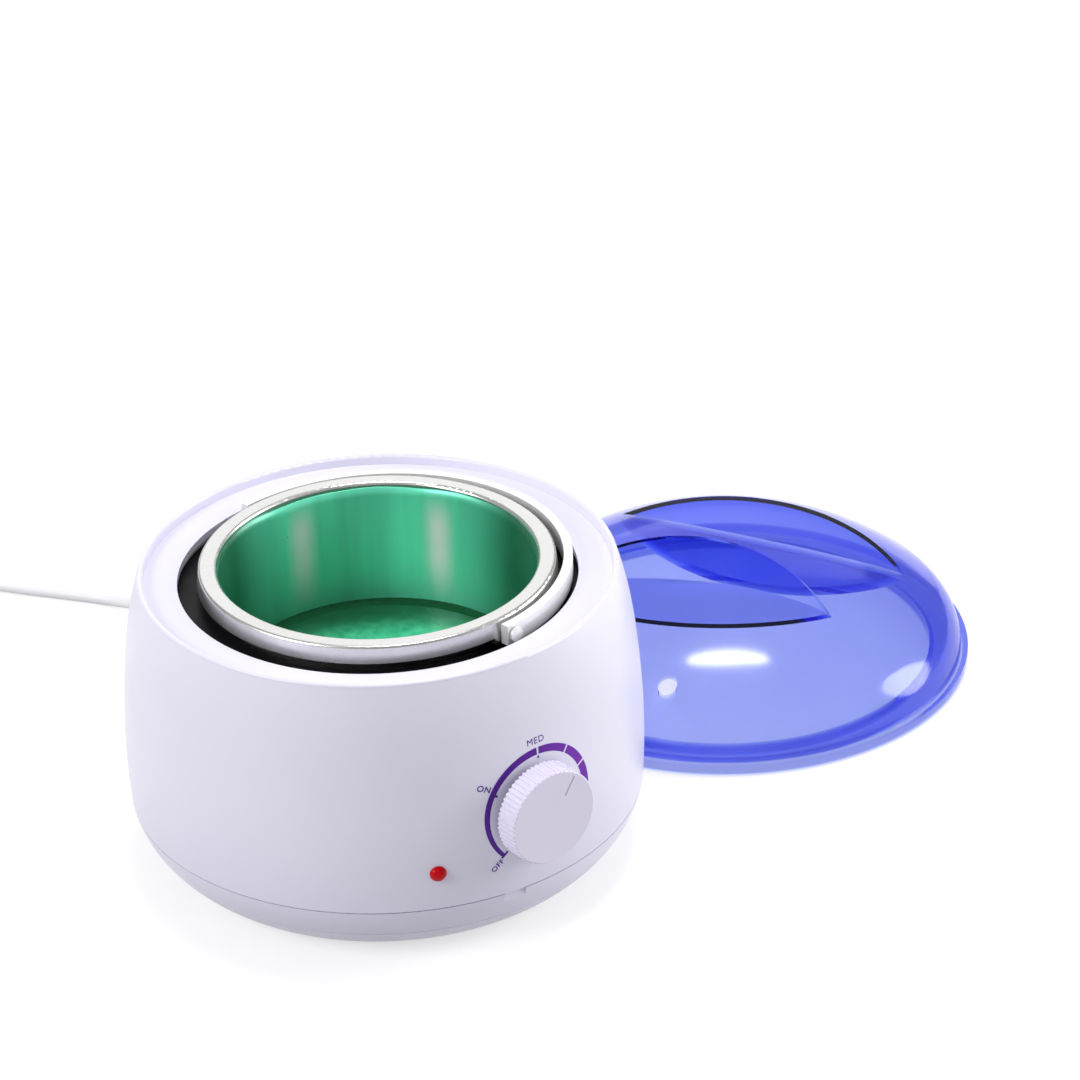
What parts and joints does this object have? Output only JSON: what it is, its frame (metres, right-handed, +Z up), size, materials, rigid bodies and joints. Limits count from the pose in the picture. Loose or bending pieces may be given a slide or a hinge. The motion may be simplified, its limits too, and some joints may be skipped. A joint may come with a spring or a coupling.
{
  "type": "wax warmer pot",
  "caption": "Round electric wax warmer with a lift-out steel pot on a bail, a turning heat knob with a printed dial, a pilot lamp, a mains cord and a loose domed lid.",
  "frame": {"origin": "centre of the foot ring's underside, on the table under the body's axis", "axes": "+Z up along the body's axis, -Y towards the knob (front), +X to the right as seen from the front"},
  "size_m": [0.3745, 0.4621, 0.1065],
  "materials": {
    "shell_plastic": "satin lilac-white moulded plastic",
    "knob_plastic": "satin white moulded plastic",
    "lid_plastic": "clear violet-blue moulded plastic",
    "lens_red": "clear red moulded lens",
    "pot_steel": "bright drawn steel",
    "bail_steel": "bright steel strip",
    "wax_green": "melted wax, glossy",
    "well_black": "black heat-proof coat on pressed metal",
    "zinc_steel": "zinc-plated steel",
    "heater_mica": "metal-clad mica band heater",
    "phenolic": "dark moulded resin",
    "block_nylon": "natural nylon",
    "brass": "plain brass",
    "silicone": "grey silicone",
    "foot_rubber": "soft black rubber",
    "cord_white": "white flexible PVC",
    "wire_red": "red wire sleeve",
    "wire_blue": "blue wire sleeve",
    "wire_pale": "pale glass sleeve",
    "plug_white": "white moulded plug",
    "pin_nickel": "nickel-plated brass"
  },
  "bodies": {
    "warmer_body": {"outer_shell": "shell_plastic", "base_cover": "shell_plastic", "foot_ring": "foot_rubber", "base_screws": "zinc_steel", "heater_well": "well_black", "well_gasket": "silicone", "well_bracket": "zinc_steel", "bracket_screws": "zinc_steel", "heater_band": "heater_mica", "band_clamp": "zinc_steel", "band_screw": "zinc_steel", "thermal_fuse": "pot_steel", "fuse_clip": "zinc_steel", "thermostat_body": "phenolic", "thermostat_bracket": "zinc_steel", "thermostat_screws": "zinc_steel", "indicator_lens": "lens_red", "indicator_socket": "phenolic", "terminal_block": "block_nylon", "terminal_screws": "brass", "cord_clamp": "block_nylon", "clamp_screws": "zinc_steel", "wire_live": "wire_red", "wire_heater": "wire_pale", "wire_neutral": "wire_blue", "wire_lamp": "wire_pale", "cord_gland": "cord_white", "cord_tail": "cord_white", "power_cord": "cord_white", "cord_coil": "cord_white", "cord_tie": "foot_rubber", "plug_body": "plug_white", "plug_pins": "pin_nickel"},
    "knob": {"control_knob": "knob_plastic", "thermostat_shaft": "zinc_steel"},
    "pot": {"inner_pot": "pot_steel", "wax_fill": "wax_green", "bail_rivets": "bail_steel"},
    "bail": {"bail_handle": "bail_steel"},
    "lid": {"lid": "lid_plastic"}
  },
  "joints": [
    {"name": "knob_turn", "type": "hinge", "parent": "warmer_body", "child": "knob", "pos_m": [-0.0022, -0.08835, 0.0524], "axis": [0, 1, 0], "range_deg": [-168, 96]},
    {"name": "pot_lift", "type": "slide", "parent": "warmer_body", "child": "pot", "axis": [0, 0, 1], "range_m": [0, 0.12]},
    {"name": "bail_swing", "type": "hinge", "parent": "pot", "child": "bail", "pos_m": [0, 0, 0.102], "axis": [0.1392, -0.9903, 0], "range_deg": [0, 180]},
    {"name": "lid_lift", "type": "slide", "parent": "warmer_body", "child": "lid", "axis": [0.5688, 0.0738, 0.8192], "range_m": [0, 0.15]}
  ]
}
